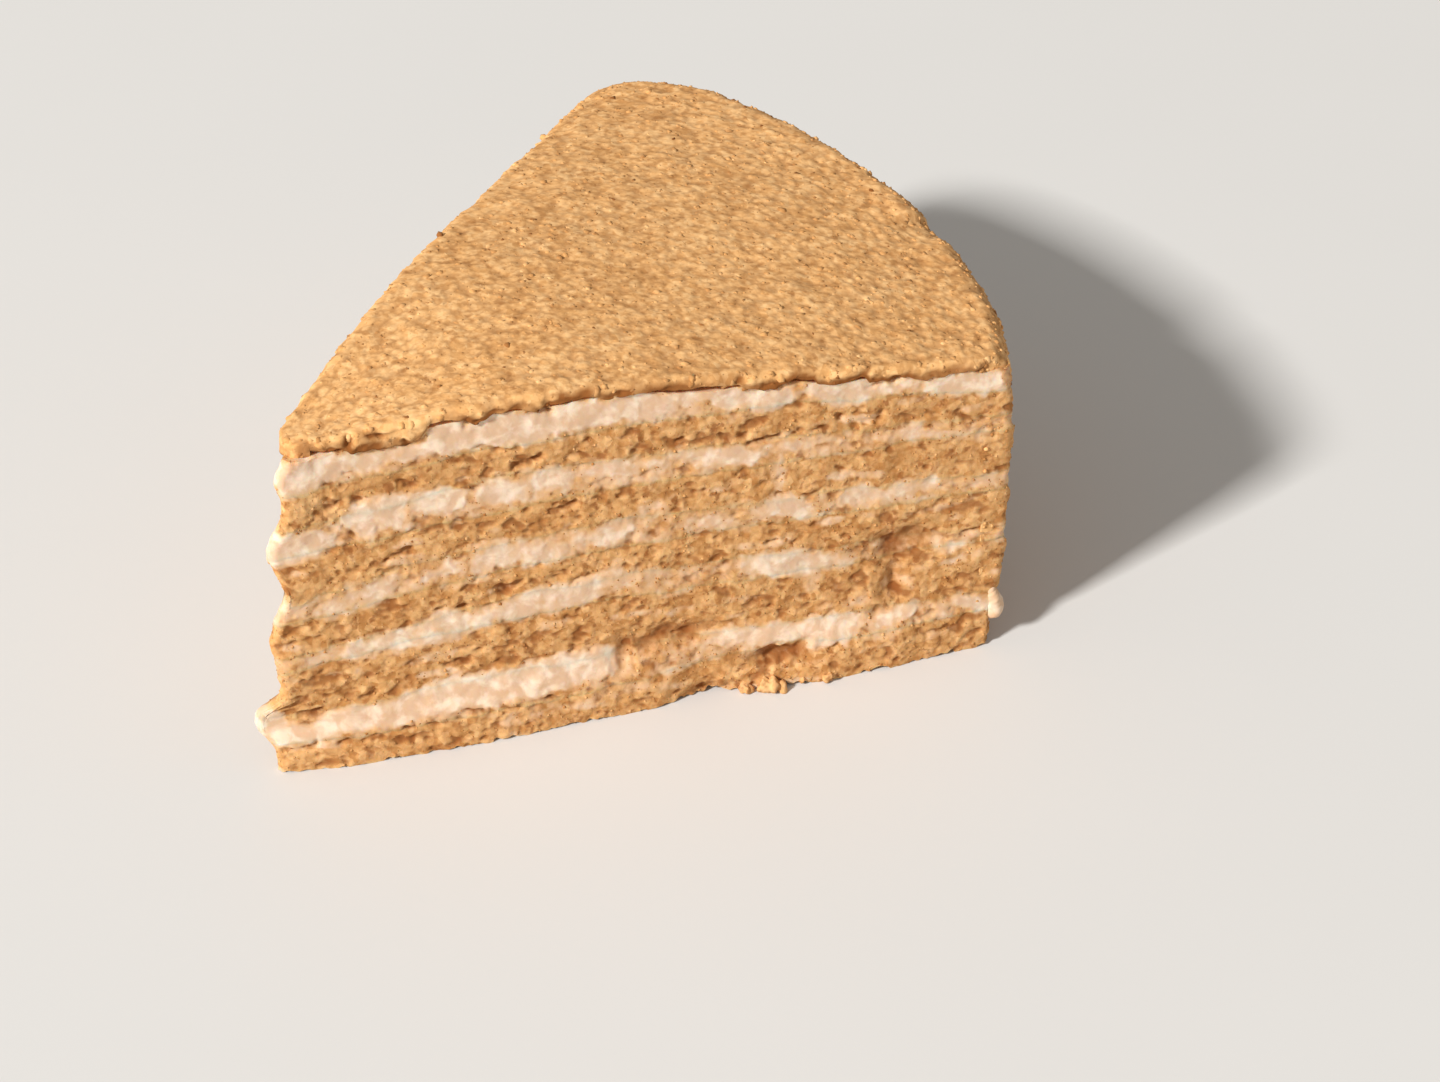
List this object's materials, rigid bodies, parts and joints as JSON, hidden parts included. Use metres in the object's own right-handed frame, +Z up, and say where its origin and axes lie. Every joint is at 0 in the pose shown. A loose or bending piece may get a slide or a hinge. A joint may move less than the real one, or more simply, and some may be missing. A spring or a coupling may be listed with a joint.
{
  "type": "honey cake slice",
  "caption": "Wedge of layered honey cake: thin tan sponges with ivory cream between them, under a coat of fine golden crumb.",
  "frame": {"origin": "middle of the bounding box, on the underside that the slice rests on", "axes": "+X from the slice's tip to its rim, along the middle of the wedge; +Y from the shown cut face to the other; +Z up"},
  "size_m": [0.1302, 0.1018, 0.0593],
  "materials": {
    "sponge": "matt, porous and crumbly",
    "cream": "soft satin",
    "crumb": "matt, fine loose grain"
  },
  "bodies": {
    "root": {"sponge_1": "sponge", "cream_1": "cream", "sponge_2": "sponge", "cream_2": "cream", "sponge_3": "sponge", "cream_3": "cream", "sponge_4": "sponge", "cream_4": "cream", "sponge_5": "sponge", "cream_5": "cream", "crumb_coat": "crumb"}
  },
  "joints": []
}
